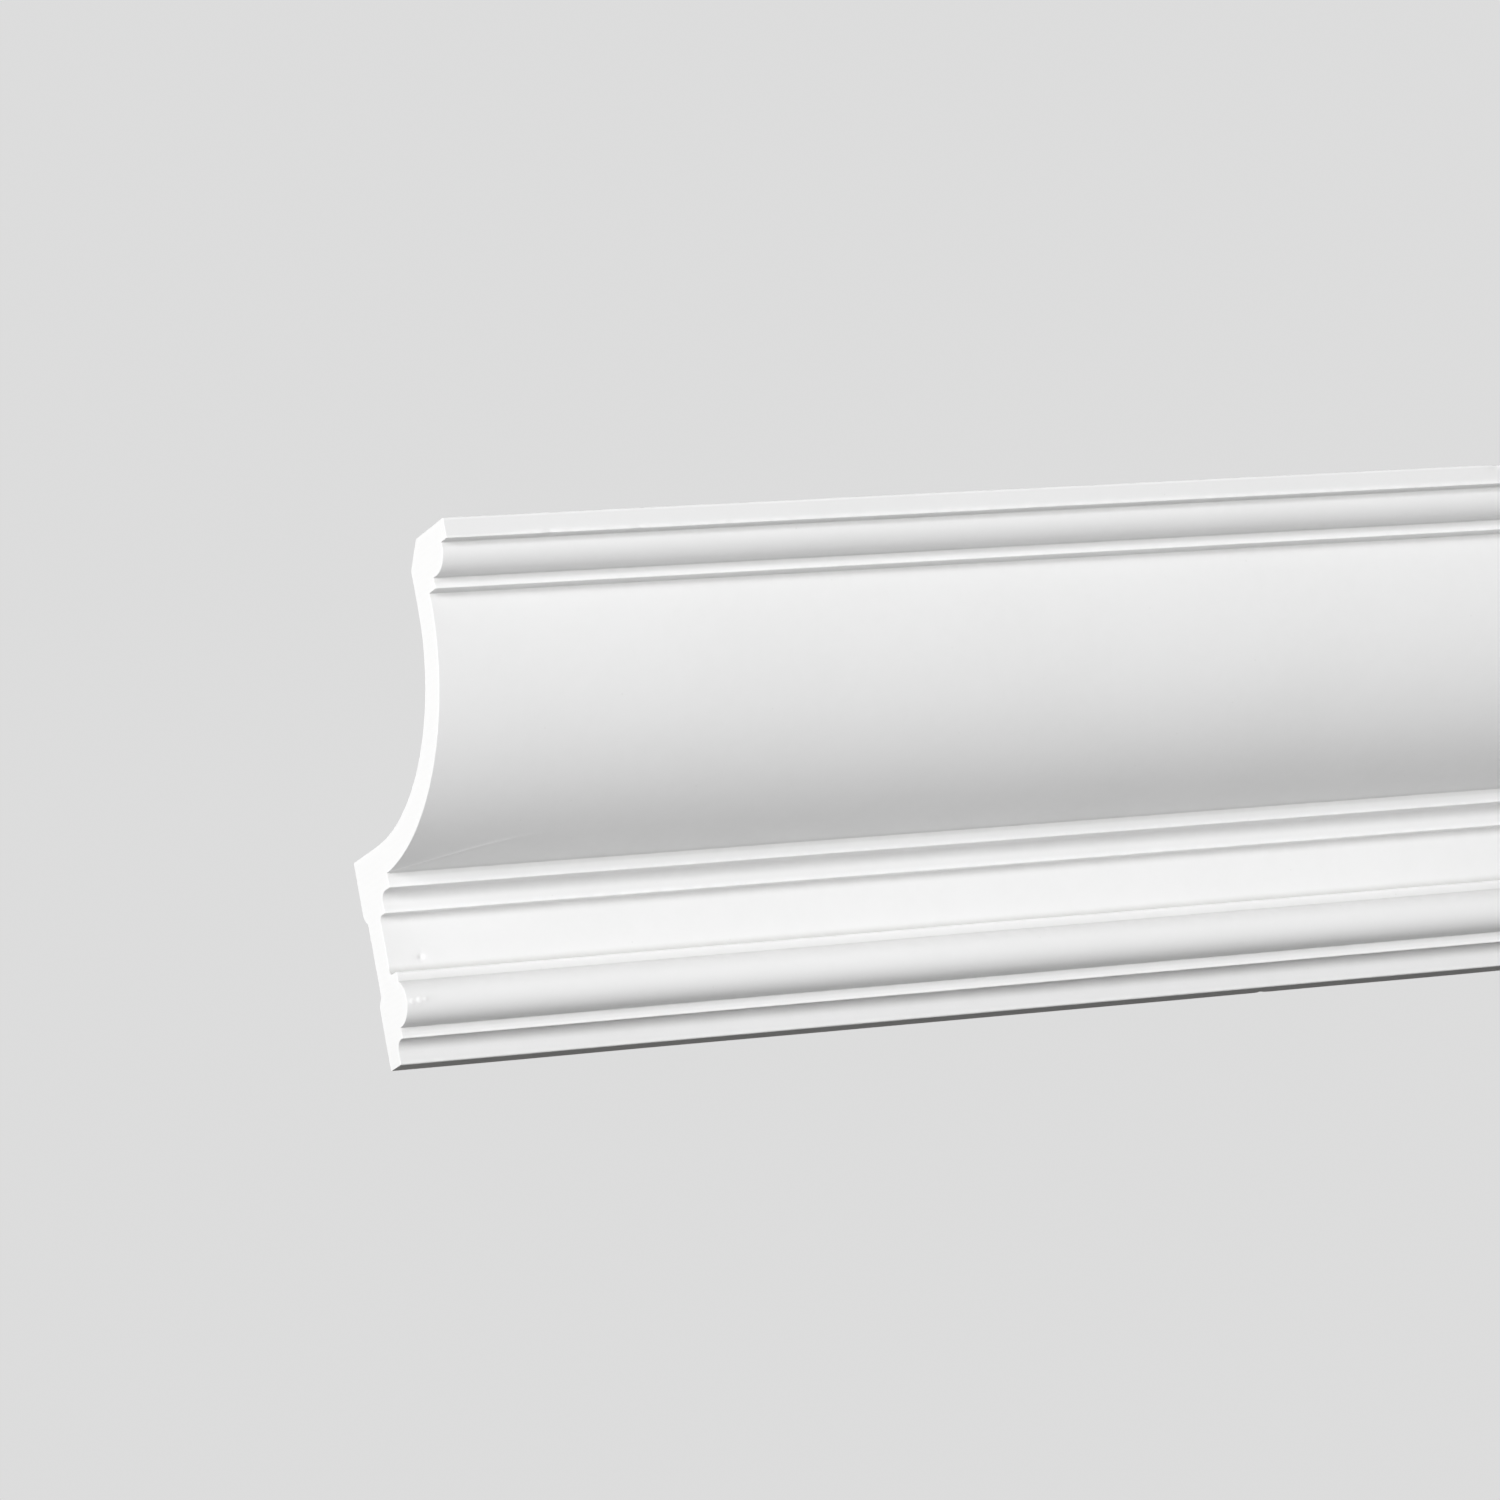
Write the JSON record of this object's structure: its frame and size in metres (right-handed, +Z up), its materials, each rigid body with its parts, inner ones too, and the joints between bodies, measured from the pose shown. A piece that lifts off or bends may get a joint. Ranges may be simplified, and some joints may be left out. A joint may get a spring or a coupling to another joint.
{
  "type": "crown moulding length",
  "caption": "Moulded crown moulding length with a convex quarter round, beads, coves and a plain frieze, hollow behind, for the angle of a wall and ceiling.",
  "frame": {"origin": "on the wall's face at the foot of the moulding, halfway along its length", "axes": "+X along the length, +Y into the wall so that the room is on the -Y side, +Z up to the ceiling"},
  "size_m": [0.52, 0.13, 0.18],
  "materials": {
    "primed_white": "matt white factory primer over cast rigid foam"
  },
  "bodies": {
    "root": {"crown_moulding": "primed_white"}
  },
  "joints": []
}
